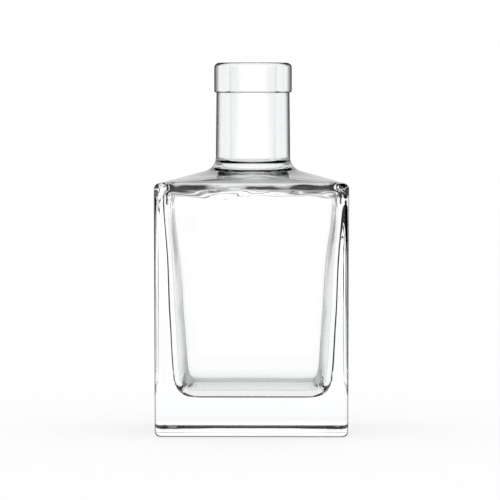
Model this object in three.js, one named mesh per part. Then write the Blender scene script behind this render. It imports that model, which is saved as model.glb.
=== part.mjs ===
// A square bottle for spirits, blown in one piece of clear glass: a heavy foot, four flat sides,
// a low shoulder, and a round neck that ends in a plain collar, open for a push-in stopper.
// Sizes are in millimetres. +Z is up, and the origin is the middle of the foot, on the table.
//
// One outline of half the bottle's section is drawn, from the middle of the underside, round the
// outside, over the rim and down the hollow to the middle of its floor. It is swept round the axis
// as a turned form is, but each ring is a rounded square on the body and a circle on the neck.
// A ring's "half" is the distance from the axis to the middle of one of its four sides.

import * as THREE from "three";

// The outside of the body
const BODY_WIDTH_AT_FOOT = 75.8;
const BODY_WIDTH_AT_SHOULDER = 76.4;
const BODY_HEIGHT = 99; // to where the sides would meet the shoulder if that edge were sharp
const BODY_CORNER_RADIUS = 3; // the four upright edges
const HEEL_RADIUS = 2; // the edge round the foot
const SHOULDER_EDGE_RADIUS = 2.4;
const SHOULDER_SLOPE = 13.7; // degrees

// The underside, pushed up a little so that the bottle stands on a flat border
const STANDING_BORDER = 7; // from the side of the foot to where the push-up starts
const PUSH_UP_HEIGHT = 0.3;
const PUSH_UP_SLOPE = 2; // degrees
const PUSH_UP_RADIUS = 18; // of both bends at the push-up's edge

// The neck and its collar
const NECK_DIAMETER_AT_ROOT = 29.8;
const NECK_DIAMETER_AT_COLLAR = 29.2;
const NECK_LENGTH = 30.3; // from the shoulder, if that bend were sharp, to the collar
const NECK_ROOT_RADIUS = 6;
const NECK_TOP_RADIUS = 0.3;
const COLLAR_DIAMETER = 31;
const COLLAR_HEIGHT = 11.8;
const COLLAR_FOOT_RADIUS = 0.5;
const COLLAR_TOP_RADIUS = 2;

// The hollow
const BORE_DIAMETER = 19.5;
const MOUTH_RADIUS = 1;
const STEP_RISE = 2.1; // of the step that ends the bore, above the bend between shoulder and neck
const STEP_FALL = 0.4; // of the step's face, from the bore out to the hollow's own neck
const STEP_RADIUS = 0.8; // of both bends at the step's edges
const SHOULDER_THICKNESS = 2; // also of the neck's wall under the step
const HOLLOW_NECK_RADIUS = 3.2; // where the hollow's neck opens into its shoulder
const WALL_AT_SHOULDER = 2.6;
const WALL_AT_WAIST = 4.5;
const WALL_AT_FLOOR = 8.2;
const WAIST_HEIGHT = 50; // above the table, where the leaning lower wall bends into the upper one
const WAIST_RADIUS = 400;
const FLOOR_THICKNESS = 14.4; // in the middle, over the push-up
const HOLLOW_CORNER_RADIUS = 7; // the hollow's four upright edges
const HOLLOW_FLOOR_RADIUS = 8;
const HOLLOW_SHOULDER_RADIUS = 6;

// How finely the curves are cut into facets
const ARC_ERROR = 0.04; // the most that a facet of the outline leaves its arc
const SHORTEST_FACET = 0.01;
const POINTS_PER_QUARTER = 14; // of a ring
const CORNER_CROWDING = 1.2; // above 0, a square ring's points crowd towards its corners
const SHOULDER_RINGS = 5; // between the neck's foot and the body's edge, inside and outside
const SHARPEST_CORNER = 0.35; // share of an upright edge's radius that stays at the foot or floor

const halfFoot = BODY_WIDTH_AT_FOOT / 2;
const halfShoulder = BODY_WIDTH_AT_SHOULDER / 2;
const neckRoot = NECK_DIAMETER_AT_ROOT / 2;
const neckTop = NECK_DIAMETER_AT_COLLAR / 2;
const collar = COLLAR_DIAMETER / 2;
const bore = BORE_DIAMETER / 2;
const hollowNeck = neckRoot - SHOULDER_THICKNESS;
const shoulderFall = Math.tan(THREE.MathUtils.degToRad(SHOULDER_SLOPE));
const pushUpRun = PUSH_UP_HEIGHT / Math.tan(THREE.MathUtils.degToRad(PUSH_UP_SLOPE));

const floorHeight = PUSH_UP_HEIGHT + FLOOR_THICKNESS;
const hollowAtShoulder = halfShoulder - WALL_AT_SHOULDER;
const boreEnd = shoulderHeightAt(neckRoot) + STEP_RISE;
const collarFoot = shoulderHeightAt(neckRoot) + NECK_LENGTH;
const rim = collarFoot + COLLAR_HEIGHT;

// Height of the shoulder's outer face at a distance from the axis.
function shoulderHeightAt(half) {
  return BODY_HEIGHT + (halfShoulder - half) * shoulderFall;
}

// Height of its inner face, one thickness in from the outer one.
function hollowShoulderHeightAt(half) {
  return shoulderHeightAt(half) - SHOULDER_THICKNESS * Math.hypot(1, shoulderFall);
}

// Half the body's width at a height.
function bodyHalfAt(z) {
  return THREE.MathUtils.mapLinear(z, 0, BODY_HEIGHT, halfFoot, halfShoulder);
}

// Half the hollow's width at a height, where its walls aren't rounded into the floor or shoulder.
function hollowHalfAt(z) {
  const waist = bodyHalfAt(WAIST_HEIGHT) - WALL_AT_WAIST;
  if (z < WAIST_HEIGHT) {
    const floor = bodyHalfAt(floorHeight) - WALL_AT_FLOOR;
    return THREE.MathUtils.mapLinear(z, floorHeight, WAIST_HEIGHT, floor, waist);
  }
  const top = hollowShoulderHeightAt(hollowAtShoulder);
  return THREE.MathUtils.mapLinear(z, WAIST_HEIGHT, top, waist, hollowAtShoulder);
}

// A corner of the outline: where its two straight runs would meet, and the radius that rounds it.
function corner(half, z, radius = 0) {
  return { point: new THREE.Vector2(half, z), radius };
}

// The angle that the outline turns through at each corner, anticlockwise above 0.
function turnAt(corners, i) {
  const arriving = corners[i].point.clone().sub(corners[i - 1].point);
  const leaving = corners[i + 1].point.clone().sub(corners[i].point);
  return Math.atan2(arriving.cross(leaving), arriving.dot(leaving));
}

// How far each corner's arc reaches along its runs. Two arcs that want more than the run between
// them holds share it in the measure of what they want.
function arcReaches(corners) {
  const wanted = corners.map(({ radius }, i) =>
    radius ? radius * Math.tan(Math.abs(turnAt(corners, i)) / 2) : 0,
  );
  return wanted.map((reach, i) => {
    if (!reach) return 0;
    const shares = [i - 1, i + 1].map((j) => {
      const run = corners[i].point.distanceTo(corners[j].point);
      return (run * reach) / (reach + wanted[j]);
    });
    return Math.min(reach, ...shares);
  });
}

// The points of the arc that rounds one corner.
function arcPoints(corners, i, reach) {
  const turn = turnAt(corners, i);
  const radius = reach / Math.tan(Math.abs(turn) / 2);
  const arriving = corners[i].point.clone().sub(corners[i - 1].point).setLength(reach);
  const start = corners[i].point.clone().sub(arriving);
  const inward = new THREE.Vector2(-arriving.y, arriving.x).multiplyScalar(Math.sign(turn));
  const centre = start.clone().add(inward.setLength(radius));
  const widestStep = 2 * Math.acos(Math.max(0, 1 - ARC_ERROR / radius));
  const steps = Math.ceil(Math.abs(turn) / widestStep);
  return Array.from({ length: steps + 1 }, (_, step) =>
    start.clone().rotateAround(centre, (turn * step) / steps),
  );
}

// The outline's points: its corners, each rounded where it has a radius. The point where one arc
// runs straight into the next is kept once.
function roundedOutline(corners) {
  const reaches = arcReaches(corners);
  const points = corners.flatMap(({ point }, i) =>
    reaches[i] ? arcPoints(corners, i, reaches[i]) : [point],
  );
  return points.filter((point, i) => !i || point.distanceTo(points[i - 1]) > SHORTEST_FACET);
}

// The points on the outside, from the middle of the underside up to the rim.
function outsideOutline() {
  const pushUpFoot = halfFoot - STANDING_BORDER;
  return [
    corner(0, PUSH_UP_HEIGHT),
    corner(pushUpFoot - pushUpRun, PUSH_UP_HEIGHT, PUSH_UP_RADIUS),
    corner(pushUpFoot, 0, PUSH_UP_RADIUS),
    corner(halfFoot, 0, HEEL_RADIUS),
    corner(halfShoulder, BODY_HEIGHT, SHOULDER_EDGE_RADIUS),
    corner(neckRoot, shoulderHeightAt(neckRoot), NECK_ROOT_RADIUS),
    corner(neckTop, collarFoot, NECK_TOP_RADIUS),
    corner(collar, collarFoot, COLLAR_FOOT_RADIUS),
    corner(collar, rim, COLLAR_TOP_RADIUS),
  ];
}

// The points of the hollow, from the mouth down to the middle of the floor.
function hollowOutline() {
  return [
    corner(bore, rim, MOUTH_RADIUS),
    corner(bore, boreEnd, STEP_RADIUS),
    corner(hollowNeck, boreEnd - STEP_FALL, STEP_RADIUS),
    corner(hollowNeck, hollowShoulderHeightAt(hollowNeck), HOLLOW_NECK_RADIUS),
    corner(hollowAtShoulder, hollowShoulderHeightAt(hollowAtShoulder), HOLLOW_SHOULDER_RADIUS),
    corner(hollowHalfAt(WAIST_HEIGHT), WAIST_HEIGHT, WAIST_RADIUS),
    corner(hollowHalfAt(floorHeight), floorHeight, HOLLOW_FLOOR_RADIUS),
    corner(0, floorHeight),
  ];
}

// Radius of a ring's corners in plan. Along a wall it is the upright edge's own radius. It shrinks
// where the wall rounds in, and over the shoulder it grows until the ring is a circle.
function planRadius(half, wallHalf, edgeRadius, circleHalf) {
  const inset = Math.max(0, wallHalf - half);
  const squared = Math.max(edgeRadius - inset, edgeRadius * SHARPEST_CORNER);
  const squareness = THREE.MathUtils.smoothstep(half, circleHalf, wallHalf);
  return Math.min(half, THREE.MathUtils.lerp(half, squared, squareness));
}

// The same for a point of the outside, whose push-up grows rounder all the way to the axis.
function outsideRing({ x: half, y: z }) {
  const circleHalf = z > BODY_HEIGHT / 2 ? neckRoot + NECK_ROOT_RADIUS : 0;
  return { half, z, radius: planRadius(half, bodyHalfAt(z), BODY_CORNER_RADIUS, circleHalf) };
}

// The same for a point of the hollow.
function hollowRing({ x: half, y: z }) {
  const circleHalf = z > WAIST_HEIGHT ? hollowNeck + HOLLOW_NECK_RADIUS : 0;
  return { half, z, radius: planRadius(half, hollowHalfAt(z), HOLLOW_CORNER_RADIUS, circleHalf) };
}

// The outline's points, with more of them along a shoulder, where the rings change their form.
function withShoulderPoints(points) {
  return points.flatMap((point, i) => {
    const next = points[i + 1];
    const crossesShoulder =
      next && Math.min(point.x, next.x) > bore && Math.abs(point.x - next.x) > COLLAR_DIAMETER / 4;
    const steps = crossesShoulder ? SHOULDER_RINGS : 1;
    return Array.from({ length: steps }, (_, step) =>
      step ? point.clone().lerp(next, step / steps) : point,
    );
  });
}

// Distance from the axis to a ring's edge, at an angle from the diagonal through its nearest corner.
function ringReach({ half, radius }, fromDiagonal) {
  const away = Math.abs(fromDiagonal);
  const arcCentre = half - radius;
  const arcEnd = Math.PI / 4 - Math.atan2(arcCentre, half);
  if (away > arcEnd) return half / Math.cos(Math.PI / 4 - away);
  const centreReach = arcCentre * Math.SQRT2;
  return centreReach * Math.cos(away) + Math.sqrt(radius ** 2 - (centreReach * Math.sin(away)) ** 2);
}

// The points round one ring, anticlockwise from the +X diagonal's far side.
function ringPoints(ring) {
  const crowding = 1 + CORNER_CROWDING * (1 - ring.radius / ring.half);
  return Array.from({ length: 4 * POINTS_PER_QUARTER }, (_, i) => {
    const quarter = Math.floor(i / POINTS_PER_QUARTER);
    const across = (2 * (i % POINTS_PER_QUARTER)) / POINTS_PER_QUARTER - 1;
    const fromDiagonal = (Math.PI / 4) * Math.sign(across) * Math.abs(across) ** crowding;
    const angle = (Math.PI / 2) * (quarter + 0.5) + fromDiagonal;
    const reach = ringReach(ring, fromDiagonal);
    return new THREE.Vector3(reach * Math.cos(angle), reach * Math.sin(angle), ring.z);
  });
}

// One closed skin through the rings, closed on the axis below the first and above the last.
function skinThrough(rings, startHeight, endHeight) {
  const loops = rings.map(ringPoints);
  const count = loops[0].length;
  const points = [...loops.flat(), new THREE.Vector3(0, 0, startHeight), new THREE.Vector3(0, 0, endHeight)];
  const start = points.length - 2;
  const end = points.length - 1;
  const faces = [];
  for (let i = 0; i < count; i++) {
    const next = (i + 1) % count;
    faces.push(start, next, i);
    for (let row = 0; row + count < start; row += count) {
      faces.push(row + i, row + next, row + count + i);
      faces.push(row + next, row + count + next, row + count + i);
    }
    faces.push(start - count + i, start - count + next, end);
  }
  const geometry = new THREE.BufferGeometry().setFromPoints(points);
  geometry.setIndex(faces);
  geometry.computeVertexNormals();
  return geometry;
}

// The whole bottle. The outline turns from the outside to the hollow at its highest point.
function bottleGeometry() {
  const corners = [...outsideOutline(), ...hollowOutline()];
  const points = withShoulderPoints(roundedOutline(corners)).slice(1, -1);
  const highest = points.reduce((best, point, i) => (point.y > points[best].y ? i : best), 0);
  const rings = points.map((point, i) => (i > highest ? hollowRing(point) : outsideRing(point)));
  return skinThrough(rings, PUSH_UP_HEIGHT, floorHeight);
}

const clearGlass = new THREE.MeshStandardMaterial({
  color: 0xf1f6f6,
  roughness: 0.03,
  metalness: 0,
  transparent: true,
  opacity: 0.35,
});

const bottle = new THREE.Mesh(bottleGeometry(), clearGlass);
bottle.name = "glass_bottle";

const group = new THREE.Group();
group.add(bottle);

export default group;
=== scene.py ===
# A square bottle of clear glass on a pale floor, lit from behind as clear glass is photographed.
# Lengths are in metres. +Z is up, and the origin is the middle of the bottle's foot.

import math

import bpy
import numpy as np
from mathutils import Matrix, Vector, noise


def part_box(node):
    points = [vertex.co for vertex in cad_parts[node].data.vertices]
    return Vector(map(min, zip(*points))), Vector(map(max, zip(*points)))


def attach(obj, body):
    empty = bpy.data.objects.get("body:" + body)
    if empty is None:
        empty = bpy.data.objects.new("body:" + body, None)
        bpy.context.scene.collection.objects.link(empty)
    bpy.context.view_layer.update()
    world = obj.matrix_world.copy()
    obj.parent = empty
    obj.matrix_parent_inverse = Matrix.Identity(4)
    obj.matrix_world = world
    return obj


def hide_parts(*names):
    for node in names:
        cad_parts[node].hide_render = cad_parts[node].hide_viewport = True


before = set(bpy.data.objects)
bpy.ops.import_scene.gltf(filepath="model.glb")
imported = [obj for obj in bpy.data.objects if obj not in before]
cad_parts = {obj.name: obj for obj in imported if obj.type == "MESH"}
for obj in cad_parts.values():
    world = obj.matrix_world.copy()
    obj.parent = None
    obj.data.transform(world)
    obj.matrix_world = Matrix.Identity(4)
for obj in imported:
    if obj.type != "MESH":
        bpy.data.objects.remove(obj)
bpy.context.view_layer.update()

MM = 0.001
RIM_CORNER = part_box("glass_bottle")[1]
HALF_SHOULDER = RIM_CORNER.x
HEIGHT = RIM_CORNER.z

# The outside of the body and its foot
HALF_FOOT = HALF_SHOULDER - 0.3 * MM
BODY_HEIGHT = 99 * MM
BODY_CORNER_RADIUS = 3 * MM
HEEL_RADIUS = 2 * MM
SHOULDER_EDGE_RADIUS = 2.4 * MM
SHOULDER_FALL = math.tan(math.radians(13.7))
PUSH_UP_FOOT = HALF_FOOT - 7 * MM
PUSH_UP_HEIGHT = 0.3 * MM
PUSH_UP_RUN = PUSH_UP_HEIGHT / math.tan(math.radians(2))
PUSH_UP_RADIUS = 18 * MM

# The neck and its collar
NECK_ROOT = 14.9 * MM
NECK_TOP = 14.6 * MM
NECK_ROOT_RADIUS = 6 * MM
NECK_TOP_RADIUS = 0.3 * MM
COLLAR = 15.5 * MM
COLLAR_HEIGHT = 11.8 * MM
COLLAR_FOOT_RADIUS = 0.5 * MM
COLLAR_TOP_RADIUS = 2 * MM

# The hollow
BORE = 9.75 * MM
MOUTH_RADIUS = 1 * MM
STEP_RISE = 2.1 * MM
STEP_FALL = 0.4 * MM
STEP_RADIUS = 0.8 * MM
SHOULDER_THICKNESS = 2 * MM
HOLLOW_NECK = NECK_ROOT - SHOULDER_THICKNESS
HOLLOW_NECK_RADIUS = 3.2 * MM
WALL_AT_SHOULDER = 2.6 * MM
WALL_AT_WAIST = 4.5 * MM
WALL_AT_FLOOR = 8.2 * MM
WAIST_HEIGHT = 50 * MM
WAIST_RADIUS = 400 * MM
FLOOR_HEIGHT = PUSH_UP_HEIGHT + 14.4 * MM
HOLLOW_CORNER_RADIUS = 7 * MM
HOLLOW_FLOOR_RADIUS = 8 * MM
HOLLOW_SHOULDER_RADIUS = 6 * MM

# How the hot glass settled inside, where nothing but air held it. Waves come as the length of one
# across, the length up the wall, and where in the noise they start.
HOLLOW_DRIFT = 0.5 * MM
BELLY = 1.1 * MM
BELLY_HEIGHT = 24 * MM
BELLY_SPREAD = 13 * MM
WAIST_PINCH = 0.8 * MM
PINCH_HEIGHT = 68 * MM
PINCH_SPREAD = 16 * MM
CORNER_SHARPENING = 0.35
RIPPLE_WAVES = (7 * MM, 30 * MM, (0, 0))
RIPPLE_DEPTH = 0.12 * MM
RIPPLE_UNDER_SHOULDER = 0.45 * MM
RIPPLE_ON_FLATS = 0.3
SAG_WAVES = (17 * MM, 17 * MM, (5, 0))
SAG_DEPTH = 0.9 * MM
LUMP_WAVES = (13 * MM, 5 * MM, (0, 0))
LUMP_DEPTH = 1 * MM
STREAK_WAVES = (8 * MM, 1.8 * MM, (0, 9))
STREAK_DEPTH = 0.3 * MM

# The heights between which each of these comes in or fades out
SHARPENING_COMES_IN = (50 * MM, 90 * MM)
RIPPLE_DEEPENS = (62 * MM, 92 * MM)
LUMPS_COME_IN = (86 * MM, 93 * MM)
STREAKS_FADE = (96.5 * MM, 99 * MM)
SETTLING_FADES = (99 * MM, 103.5 * MM)

# From a flat's middle at 0 to a corner's at 1, where the corner starts and where it is reached
CORNER_TURN = (0.55, 0.98)

# The share of the hollow's half width at which settling starts, and at which it is full
SETTLING_REACH = (0.3, 0.95)

# How finely the surface is cut
ARC_STEP = math.radians(5)
LONGEST_STEP = 1.2 * MM
POINTS_PER_QUARTER = 48
CORNER_CROWDING = 1.2
SHARPEST_CORNER = 0.35

# The camera, as the photograph was taken
CAMERA_DISTANCE = 1.54
CAMERA_HEIGHT = 131.6 * MM
CAMERA_AZIMUTH = math.radians(1.05)
AIM_HEIGHT = 71.9 * MM
AIM_LEFT = 1.2 * MM
FRAME_WIDTH = 200 * MM
SENSOR = 36.0

# The glass: the faint tint of its depth and of its painted edge shade, and the haze that clouds its
# gloss and barely dents it
GLASS_IOR = 1.52
PAINTED_SHADE_TINT = (0.97, 0.995, 1.0)
DEPTH_TINT = (0.75, 0.95, 0.93, 1)
DEPTH_TINT_DENSITY = 0.5
HAZE_SCALE = 60
HAZE_DETAIL = 3
HAZE_FROM_TO = (0.45, 0.8)
HAZIEST = 0.02
HAZE_DENT_STRENGTH = 0.05
HAZE_DENT_DEPTH = 0.2 * MM

# Painted shade: the share of light that the glass's colour lets through where it turns away, by its
# facing: 0 square on, 1 edge on
PAINTED_EDGE_SHADES = [
    (0.2, 1),
    (0.4, 0.88),
    (0.5, 0.76),
    (0.62, 0.58),
    (0.7, 0.44),
    (0.76, 0.36),
    (0.81, 0.06),
]
DARKEST_PAINTED_SHADE = 0.01

# The share of that painted shade which the hollow takes, and the heights between which it ends
HOLLOW_PAINTED_SHADE = 0.8
HOLLOW_PAINTED_SHADE_ENDS = (80 * MM, 90 * MM)

# A painted dark line that a round neck or an upright edge ends in, by the same facing: near-black glass
# mixed in where light enters edge on
RIM_FACING = (0.42, 0.85)
PAINTED_RIM_SHADE = 0.92
PAINTED_RIM_COLOUR = (0.02, 0.02, 0.02, 1)
HEEL_PAINTED_RIM = 8
RIM_EDGE_FADE = 1 * MM
RIM_SHOULDER_FADE = 2 * MM
RIM_NECK_FADE = (1 * MM, 6 * MM)

# The floor, and how much of it is real shade to the camera and to the glass
FLOOR_HALF = 3.0
FLOOR_GAP = 0.1 * MM
FLOOR_COLOUR = (0.98, 0.98, 0.98, 1)
SHADE_SEEN = 0.25
SHADE_IN_GLASS = 0.12

# The light that the glass sees, by the angle in degrees from straight behind and straight in front.
# The light behind narrows upwards by its rise.
DOME_RADIUS = 0.9
DOME_ROWS = 120
DOME_COLUMNS = 360
DOME_TOP = 89
WIDE_LIGHT = 1.0
WIDE_FADE = (72, 78)
BACK_LIGHT = 0.18
BACK_FADE = (8, 26)
BACK_RISE = 2.4
FRONT_LIGHT = 1.0
FRONT_FADE = (45, 65)

WHITE = (1, 1, 1, 1)


def shoulder_height(half):
    """Height of the shoulder's outer face at a distance from the axis."""
    return BODY_HEIGHT + (HALF_SHOULDER - half) * SHOULDER_FALL


def hollow_shoulder_height(half):
    """Height of its inner face."""
    return shoulder_height(half) - SHOULDER_THICKNESS * math.hypot(1, SHOULDER_FALL)


def body_half(z):
    """Half the body's width at a height."""
    return HALF_FOOT + (HALF_SHOULDER - HALF_FOOT) * z / BODY_HEIGHT


def hollow_half(z):
    """Half the hollow's width at a height, where nothing rounds it."""
    top = HALF_SHOULDER - WALL_AT_SHOULDER
    heights = [FLOOR_HEIGHT, WAIST_HEIGHT, hollow_shoulder_height(top)]
    halves = [body_half(FLOOR_HEIGHT) - WALL_AT_FLOOR, body_half(WAIST_HEIGHT) - WALL_AT_WAIST, top]
    return np.interp(z, heights, halves)


def outline_corners():
    """The half section's corners as (half, height, radius), from the underside to the hollow's floor."""
    neck_foot = shoulder_height(NECK_ROOT)
    collar_foot = HEIGHT - COLLAR_HEIGHT
    hollow_top = HALF_SHOULDER - WALL_AT_SHOULDER
    bore_end = neck_foot + STEP_RISE
    outside = [
        (0, PUSH_UP_HEIGHT, 0),
        (PUSH_UP_FOOT - PUSH_UP_RUN, PUSH_UP_HEIGHT, PUSH_UP_RADIUS),
        (PUSH_UP_FOOT, 0, PUSH_UP_RADIUS),
        (HALF_FOOT, 0, HEEL_RADIUS),
        (HALF_SHOULDER, BODY_HEIGHT, SHOULDER_EDGE_RADIUS),
        (NECK_ROOT, neck_foot, NECK_ROOT_RADIUS),
        (NECK_TOP, collar_foot, NECK_TOP_RADIUS),
        (COLLAR, collar_foot, COLLAR_FOOT_RADIUS),
        (COLLAR, HEIGHT, COLLAR_TOP_RADIUS),
    ]
    hollow = [
        (BORE, HEIGHT, MOUTH_RADIUS),
        (BORE, bore_end, STEP_RADIUS),
        (HOLLOW_NECK, bore_end - STEP_FALL, STEP_RADIUS),
        (HOLLOW_NECK, hollow_shoulder_height(HOLLOW_NECK), HOLLOW_NECK_RADIUS),
        (hollow_top, hollow_shoulder_height(hollow_top), HOLLOW_SHOULDER_RADIUS),
        (hollow_half(WAIST_HEIGHT), WAIST_HEIGHT, WAIST_RADIUS),
        (hollow_half(FLOOR_HEIGHT), FLOOR_HEIGHT, HOLLOW_FLOOR_RADIUS),
        (0, FLOOR_HEIGHT, 0),
    ]
    return outside + hollow


def rounded_outline(corners):
    """The outline's points with each corner rounded by an arc."""
    points = [Vector(corners[0][:2])]
    for (bx, bz, _), (x, z, radius), (ax, az, _) in zip(corners, corners[1:], corners[2:]):
        point = Vector((x, z))
        arriving = (point - Vector((bx, bz))).normalized()
        leaving = (Vector((ax, az)) - point).normalized()
        turn = math.atan2(arriving.x * leaving.y - arriving.y * leaving.x, arriving.dot(leaving))
        start = point - arriving * radius * abs(math.tan(turn / 2))
        centre = start + Vector((-arriving.y, arriving.x)) * math.copysign(radius, turn)
        spoke = start - centre
        steps = max(2, math.ceil(abs(turn) / ARC_STEP))
        for i in range(steps + 1):
            angle = turn * i / steps
            points.append(centre + Vector((
                spoke.x * math.cos(angle) - spoke.y * math.sin(angle),
                spoke.x * math.sin(angle) + spoke.y * math.cos(angle),
            )))
    points.append(Vector(corners[-1][:2]))
    return points


def with_even_steps(points):
    """The same line with no step longer than the longest one."""
    dense = []
    for here, there in zip(points, points[1:]):
        steps = max(1, math.ceil((there - here).length / LONGEST_STEP))
        dense += [here.lerp(there, i / steps) for i in range(steps)]
    return dense + [points[-1]]


def smoothstep(value, low, high):
    """A smooth rise from 0 at the low end to 1 at the high end."""
    share = np.clip((value - low) / (high - low), 0, 1)
    return share * share * (3 - 2 * share)


def plan_radius(half, wall_half, edge_radius, circle_half):
    """Radius of a ring's corners: an upright edge's on a wall, growing to a circle on a shoulder."""
    inset = max(0, wall_half - half)
    squared = max(edge_radius - inset, edge_radius * SHARPEST_CORNER)
    squareness = smoothstep(half, circle_half, wall_half)
    return min(half, half + (squared - half) * squareness)


def ring_reach(half, radius, from_diagonal):
    """Distance from the axis to a rounded square's edge, by the angle from its nearest diagonal."""
    away = np.abs(from_diagonal)
    centre = half - radius
    arc_end = math.pi / 4 - math.atan2(centre, half)
    flat = half / np.cos(np.maximum(0, math.pi / 4 - away))
    reach = centre * math.sqrt(2)
    inside = np.maximum(0, radius**2 - (reach * np.sin(away)) ** 2)
    return np.where(away > arc_end, flat, reach * np.cos(away) + np.sqrt(inside))


def ring(half, z, radius):
    """The points of one ring, as rows of x, y, z."""
    crowding = 1 + CORNER_CROWDING * (1 - radius / half)
    across = 2 * np.arange(POINTS_PER_QUARTER) / POINTS_PER_QUARTER - 1
    from_diagonal = math.pi / 4 * np.sign(across) * np.abs(across) ** crowding
    reach = np.tile(ring_reach(half, radius, from_diagonal), 4)
    quarters = np.repeat(np.arange(4) + 0.5, POINTS_PER_QUARTER) * math.pi / 2
    angle = quarters + np.tile(from_diagonal, 4)
    return np.column_stack([reach * np.cos(angle), reach * np.sin(angle), np.full(angle.shape, z)])


def wavering(points, across, along, start):
    """Smooth noise between -1 and 1 at each point."""
    return np.array([
        noise.noise((x / across + start[0], y / across + start[1], z / along)) for x, y, z in points
    ])


def settled(points, share):
    """Points of the hollow as the glass cooled: its walls bellied and rippled, its shoulder sagged.

    The share is how far each point takes part, from 0 on the axis to 1 on a wall.
    """
    z = points[:, 2]
    from_axis = np.linalg.norm(points[:, :2], axis=1)
    out = points[:, :2] / np.maximum(from_axis, MM)[:, None]
    corner = smoothstep(2 * np.abs(out[:, 0] * out[:, 1]), *CORNER_TURN)
    high = smoothstep(z, *RIPPLE_DEEPENS)
    under_shoulder = smoothstep(z, *LUMPS_COME_IN)
    share = share * (1 - smoothstep(z, *SETTLING_FADES))

    swell = BELLY * np.exp(-(((z - BELLY_HEIGHT) / BELLY_SPREAD) ** 2))
    pinch = WAIST_PINCH * np.exp(-(((z - PINCH_HEIGHT) / PINCH_SPREAD) ** 2))
    ripple_depth = RIPPLE_DEPTH + (RIPPLE_UNDER_SHOULDER - RIPPLE_DEPTH) * high
    ripple_depth *= RIPPLE_ON_FLATS + (1 - RIPPLE_ON_FLATS) * corner
    ripple = ripple_depth * wavering(points, *RIPPLE_WAVES)
    lump = LUMP_DEPTH * under_shoulder * wavering(points, *LUMP_WAVES)
    streak_depth = STREAK_DEPTH * under_shoulder * (1 - smoothstep(z, *STREAKS_FADE))
    streak = streak_depth * wavering(points, *STREAK_WAVES)
    sag = SAG_DEPTH * high * wavering(points, *SAG_WAVES)

    push = (swell - pinch + ripple + lump + streak) * share
    moved = points.copy()
    moved[:, :2] += out * push[:, None]
    moved[:, 0] += HOLLOW_DRIFT * share
    moved[:, 2] += (sag + streak) * share
    return moved


def outside_ring(half, z):
    """A ring of the outside: squared on the body, a circle on the neck and in the foot's middle."""
    circle_half = NECK_ROOT + NECK_ROOT_RADIUS if z > BODY_HEIGHT / 2 else 0
    return ring(half, z, plan_radius(half, body_half(z), BODY_CORNER_RADIUS, circle_half))


def hollow_ring(half, z):
    """A ring of the hollow, likewise, as the glass settled."""
    circle_half = HOLLOW_NECK + HOLLOW_NECK_RADIUS if z > WAIST_HEIGHT else 0
    sharpening = CORNER_SHARPENING * smoothstep(z, *SHARPENING_COMES_IN)
    wall_half = hollow_half(z)
    radius = plan_radius(half, wall_half, HOLLOW_CORNER_RADIUS * (1 - sharpening), circle_half)
    share = smoothstep(half, SETTLING_REACH[0] * wall_half, SETTLING_REACH[1] * wall_half)
    return settled(ring(half, z, radius), share)


def bottle_rings():
    """The rings of the outside, from the underside to the rim, and the hollow's from there down."""
    outline = with_even_steps(rounded_outline(outline_corners()))[1:-1]
    highest = max(range(len(outline)), key=lambda i: outline[i].y)
    outside = [outside_ring(half, z) for half, z in outline[: highest + 1]]
    hollow = [hollow_ring(half, z) for half, z in outline[highest + 1 :]]
    return outside, hollow


def skin_mesh(name, rings, start, end):
    """One closed mesh through the rings, with a point on the axis at either end."""
    count = len(rings[0])
    vertices = np.vstack(rings + [np.array([start, end])])
    first, last = len(vertices) - 2, len(vertices) - 1
    here = np.arange(count)
    there = (here + 1) % count
    faces = [(first, int(b), int(a)) for a, b in zip(here, there)]
    for row in range(0, first - count, count):
        above = row + count
        faces += np.column_stack([row + here, row + there, above + there, above + here]).tolist()
    top = first - count
    faces += [(int(top + a), int(top + b), last) for a, b in zip(here, there)]
    mesh = bpy.data.meshes.new(name)
    mesh.from_pydata(vertices.tolist(), [], faces)
    mesh.polygons.foreach_set("use_smooth", [True] * len(mesh.polygons))
    mesh.update()
    return mesh


def add_attribute(mesh, name, values):
    """Gives each of a mesh's points a value that a material can read."""
    mesh.attributes.new(name, "FLOAT", "POINT").data.foreach_set("value", values)


def add_edge_attributes(mesh, outside_count):
    """Marks how far each point takes the painted edge shade, and how far the painted dark rim."""
    points = np.array([tuple(vertex.co) for vertex in mesh.vertices])
    z = points[:, 2]
    outside = np.zeros(len(points))
    outside[:outside_count] = 1
    in_hollow = HOLLOW_PAINTED_SHADE * (1 - smoothstep(z, *HOLLOW_PAINTED_SHADE_ENDS))
    # Painted shade: how far each point's colour is darkened where it turns away
    add_attribute(mesh, "painted_edge_shade", np.maximum(outside, in_hollow))

    # Painted dark rim: the upright corners, the heel and the neck take the painted dark line
    corner_start = HALF_FOOT - BODY_CORNER_RADIUS
    nearer_side = np.abs(points[:, :2]).min(axis=1)
    at_corner = smoothstep(nearer_side, corner_start - RIM_EDGE_FADE, corner_start)
    on_body = 1 - smoothstep(z, BODY_HEIGHT - RIM_SHOULDER_FADE, BODY_HEIGHT)
    at_heel = 1 - smoothstep(z, 0, HEEL_RADIUS)
    neck_foot = shoulder_height(NECK_ROOT)
    on_neck = smoothstep(z, neck_foot + RIM_NECK_FADE[0], neck_foot + RIM_NECK_FADE[1])
    rim = at_corner * on_body + (HEEL_PAINTED_RIM - 1) * at_heel + on_neck
    add_attribute(mesh, "painted_dark_rim", outside * rim)


def map_range(nodes, from_min, from_max, to_min, to_max):
    """A node that maps one range of values to another."""
    node = nodes.new("ShaderNodeMapRange")
    node.inputs["From Min"].default_value = from_min
    node.inputs["From Max"].default_value = from_max
    node.inputs["To Min"].default_value = to_min
    node.inputs["To Max"].default_value = to_max
    return node


def attribute_output(nodes, name):
    """The output of a node that reads one of the mesh's values."""
    node = nodes.new("ShaderNodeAttribute")
    node.attribute_name = name
    return node.outputs["Fac"]


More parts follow.
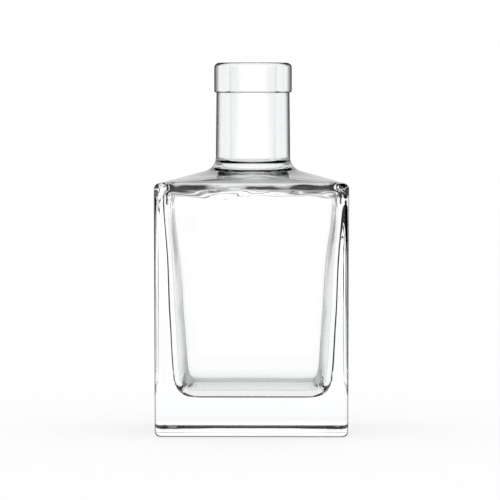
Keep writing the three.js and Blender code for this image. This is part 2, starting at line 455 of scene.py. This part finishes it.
def product(tree, first, second):
    """The output of a node that multiplies two outputs."""
    node = tree.nodes.new("ShaderNodeMath")
    node.operation = "MULTIPLY"
    tree.links.new(first, node.inputs[0])
    tree.links.new(second, node.inputs[1])
    return node.outputs[0]


def paint_edge_shade(tree, facing, shader):
    """Paints shade into the glass's colour where it turns away, as far as its points are marked for it.
    """
    ramp = tree.nodes.new("ShaderNodeValToRGB")
    first, last = ramp.color_ramp.elements
    first.position = 0
    first.color = WHITE
    last.position = 1
    last.color = (DARKEST_PAINTED_SHADE, DARKEST_PAINTED_SHADE, DARKEST_PAINTED_SHADE, 1)
    for position, shade in PAINTED_EDGE_SHADES:
        stop = ramp.color_ramp.elements.new(position)
        stop.color = (*(shade * tint for tint in PAINTED_SHADE_TINT), 1)
    tree.links.new(facing, ramp.inputs["Fac"])

    mix = tree.nodes.new("ShaderNodeMix")
    mix.data_type = "RGBA"
    clear, shaded = [socket for socket in mix.inputs if socket.type == "RGBA"]
    mixed = [socket for socket in mix.outputs if socket.type == "RGBA"][0]
    clear.default_value = WHITE
    tree.links.new(ramp.outputs["Color"], shaded)
    tree.links.new(attribute_output(tree.nodes, "painted_edge_shade"), mix.inputs["Factor"])
    tree.links.new(mixed, shader.inputs["Base Color"])


def add_haze(tree, shader):
    """Clouds the gloss a little in patches, and dents the surface with them."""
    nodes, links = tree.nodes, tree.links
    place = nodes.new("ShaderNodeTexCoord")
    haze = nodes.new("ShaderNodeTexNoise")
    haze.inputs["Scale"].default_value = HAZE_SCALE
    haze.inputs["Detail"].default_value = HAZE_DETAIL
    links.new(place.outputs["Object"], haze.inputs["Vector"])
    gloss = map_range(nodes, *HAZE_FROM_TO, 0, HAZIEST)
    links.new(haze.outputs["Fac"], gloss.inputs["Value"])
    links.new(gloss.outputs["Result"], shader.inputs["Roughness"])
    bump = nodes.new("ShaderNodeBump")
    bump.inputs["Strength"].default_value = HAZE_DENT_STRENGTH
    bump.inputs["Distance"].default_value = HAZE_DENT_DEPTH
    links.new(haze.outputs["Fac"], bump.inputs["Height"])
    links.new(bump.outputs["Normal"], shader.inputs["Normal"])


def paint_dark_rim(tree, facing, shader, surface):
    """Paints a dark rim: mixes near-black glass into the clear where light enters a marked point edge
    on.
    """
    nodes, links = tree.nodes, tree.links
    turned = map_range(nodes, *RIM_FACING, 0, PAINTED_RIM_SHADE)
    turned.interpolation_type = "SMOOTHSTEP"
    links.new(facing, turned.inputs["Value"])
    side = nodes.new("ShaderNodeNewGeometry")
    entering = nodes.new("ShaderNodeMath")
    entering.operation = "SUBTRACT"
    entering.inputs[0].default_value = 1
    links.new(side.outputs["Backfacing"], entering.inputs[1])
    marked = product(tree, turned.outputs["Result"], attribute_output(nodes, "painted_dark_rim"))
    # Near-black glass that paints the dark rim
    dark = nodes.new("ShaderNodeBsdfGlass")
    dark.inputs["Color"].default_value = PAINTED_RIM_COLOUR
    dark.inputs["IOR"].default_value = GLASS_IOR
    mix = nodes.new("ShaderNodeMixShader")
    links.new(product(tree, marked, entering.outputs[0]), mix.inputs[0])
    links.new(shader.outputs["BSDF"], mix.inputs[1])
    links.new(dark.outputs["BSDF"], mix.inputs[2])
    links.new(mix.outputs[0], surface)


def glass_material():
    """Clear glass with a faint cool tint, with painted shade and a painted dark rim where it is seen
    edge on.
    """
    material = bpy.data.materials.new("clear_glass")
    material.use_nodes = True
    tree = material.node_tree
    output = tree.nodes["Material Output"]
    shader = tree.nodes["Principled BSDF"]
    shader.inputs["IOR"].default_value = GLASS_IOR
    shader.inputs["Transmission Weight"].default_value = 1
    layer = tree.nodes.new("ShaderNodeLayerWeight")
    layer.inputs["Blend"].default_value = 0.5
    facing = layer.outputs["Facing"]

    # Painted shade where the glass turns away, then the haze, then a painted dark rim at its edges
    paint_edge_shade(tree, facing, shader)
    add_haze(tree, shader)
    paint_dark_rim(tree, facing, shader, output.inputs["Surface"])
    volume = tree.nodes.new("ShaderNodeVolumeAbsorption")
    volume.inputs["Color"].default_value = DEPTH_TINT
    volume.inputs["Density"].default_value = DEPTH_TINT_DENSITY
    tree.links.new(volume.outputs["Volume"], output.inputs["Volume"])
    return material


def make_bottle():
    outside, hollow = bottle_rings()
    mesh = skin_mesh("glass_skin", outside + hollow, (0, 0, PUSH_UP_HEIGHT), (0, 0, FLOOR_HEIGHT))
    add_edge_attributes(mesh, len(outside) * len(outside[0]))
    bottle = bpy.data.objects.new("glass_skin", mesh)
    bpy.context.scene.collection.objects.link(bottle)
    mesh.materials.append(glass_material())
    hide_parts("glass_bottle")
    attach(bottle, "root")


def make_camera():
    data = bpy.data.cameras.new("camera")
    data.sensor_width = SENSOR
    data.lens = SENSOR * CAMERA_DISTANCE / FRAME_WIDTH
    camera = bpy.data.objects.new("camera", data)
    bpy.context.scene.collection.objects.link(camera)
    right = Vector((math.cos(CAMERA_AZIMUTH), math.sin(CAMERA_AZIMUTH), 0))
    ahead = Vector((-math.sin(CAMERA_AZIMUTH), math.cos(CAMERA_AZIMUTH), 0))
    stand = -ahead * CAMERA_DISTANCE - right * AIM_LEFT + Vector((0, 0, CAMERA_HEIGHT))
    aim = -right * AIM_LEFT + Vector((0, 0, AIM_HEIGHT))
    camera.location = stand
    camera.rotation_euler = (aim - stand).to_track_quat("-Z", "Y").to_euler()
    bpy.context.scene.camera = camera
    return camera


def light_material(name):
    """A material that is plain white light. Returns it with its node tree and its light node."""
    material = bpy.data.materials.new(name)
    material.use_nodes = True
    tree = material.node_tree
    tree.nodes.clear()
    light = tree.nodes.new("ShaderNodeEmission")
    light.inputs["Color"].default_value = WHITE
    light.inputs["Strength"].default_value = 1
    output = tree.nodes.new("ShaderNodeOutputMaterial")
    tree.links.new(light.outputs[0], output.inputs["Surface"])
    return material, tree, light


def dome_glow(azimuth, elevation):
    """Strength of the light that comes from each direction, measured from straight behind."""
    from_back = np.hypot(azimuth, elevation * np.where(elevation > 0, BACK_RISE, 1))
    from_front = np.hypot(180 - np.abs(azimuth), elevation)
    return (
        WIDE_LIGHT * (1 - smoothstep(from_back, *WIDE_FADE))
        + BACK_LIGHT * (1 - smoothstep(from_back, *BACK_FADE))
        + FRONT_LIGHT * (1 - smoothstep(from_front, *FRONT_FADE))
    )


def make_light_dome(camera):
    """What the glass sees: bright behind the bottle, dark at its sides and above, bright in front.

    It hangs on the camera, so that the bottle is lit from behind in every view.
    """
    turn = np.linspace(-180, 180, DOME_COLUMNS, endpoint=False)
    rise = np.linspace(-DOME_TOP, DOME_TOP, DOME_ROWS)
    azimuth, elevation = (grid.ravel() for grid in np.meshgrid(turn, rise))
    a, e = np.radians(azimuth), np.radians(elevation)
    directions = np.column_stack([np.sin(a) * np.cos(e), np.sin(e), -np.cos(a) * np.cos(e)])
    points = DOME_RADIUS * directions
    points[:, 2] -= CAMERA_DISTANCE
    faces = []
    for row in range(DOME_ROWS - 1):
        for column in range(DOME_COLUMNS):
            here = row * DOME_COLUMNS + column
            there = row * DOME_COLUMNS + (column + 1) % DOME_COLUMNS
            faces.append((here, there, there + DOME_COLUMNS, here + DOME_COLUMNS))
    mesh = bpy.data.meshes.new("light_dome")
    mesh.from_pydata(points.tolist(), [], faces)
    add_attribute(mesh, "glow", dome_glow(azimuth, elevation))
    material, tree, light = light_material("studio_light")
    tree.links.new(attribute_output(tree.nodes, "glow"), light.inputs["Strength"])
    mesh.materials.append(material)
    dome = bpy.data.objects.new("light_dome", mesh)
    bpy.context.scene.collection.objects.link(dome)
    dome.parent = camera
    dome.visible_camera = False
    dome.visible_diffuse = False
    dome.visible_shadow = False


def make_floor():
    """A pale floor: mostly its own white, so that only a soft shadow is left of the bottle's."""
    mesh = bpy.data.meshes.new("floor")
    corners = [(-FLOOR_HALF, -FLOOR_HALF), (FLOOR_HALF, -FLOOR_HALF)]
    corners += [(x, -y) for x, y in reversed(corners)]
    mesh.from_pydata([(x, y, -FLOOR_GAP) for x, y in corners], [], [(0, 1, 2, 3)])
    floor = bpy.data.objects.new("floor", mesh)
    bpy.context.scene.collection.objects.link(floor)
    material, tree, light = light_material("pale_floor")
    nodes, links = tree.nodes, tree.links
    diffuse = nodes.new("ShaderNodeBsdfDiffuse")
    diffuse.inputs["Color"].default_value = FLOOR_COLOUR
    path = nodes.new("ShaderNodeLightPath")
    share = map_range(nodes, 0, 1, SHADE_IN_GLASS, SHADE_SEEN)
    links.new(path.outputs["Is Camera Ray"], share.inputs["Value"])
    mix = nodes.new("ShaderNodeMixShader")
    links.new(share.outputs["Result"], mix.inputs["Fac"])
    links.new(light.outputs[0], mix.inputs[1])
    links.new(diffuse.outputs[0], mix.inputs[2])
    links.new(mix.outputs[0], nodes["Material Output"].inputs["Surface"])
    mesh.materials.append(material)


def make_world():
    world = bpy.data.worlds.new("white_room")
    world.use_nodes = True
    world.node_tree.nodes["Background"].inputs["Color"].default_value = WHITE
    world.node_tree.nodes["Background"].inputs["Strength"].default_value = 1
    bpy.context.scene.world = world


scene = bpy.context.scene
scene.view_settings.view_transform = "Standard"
camera = make_camera()
make_world()
make_floor()
make_light_dome(camera)
make_bottle()
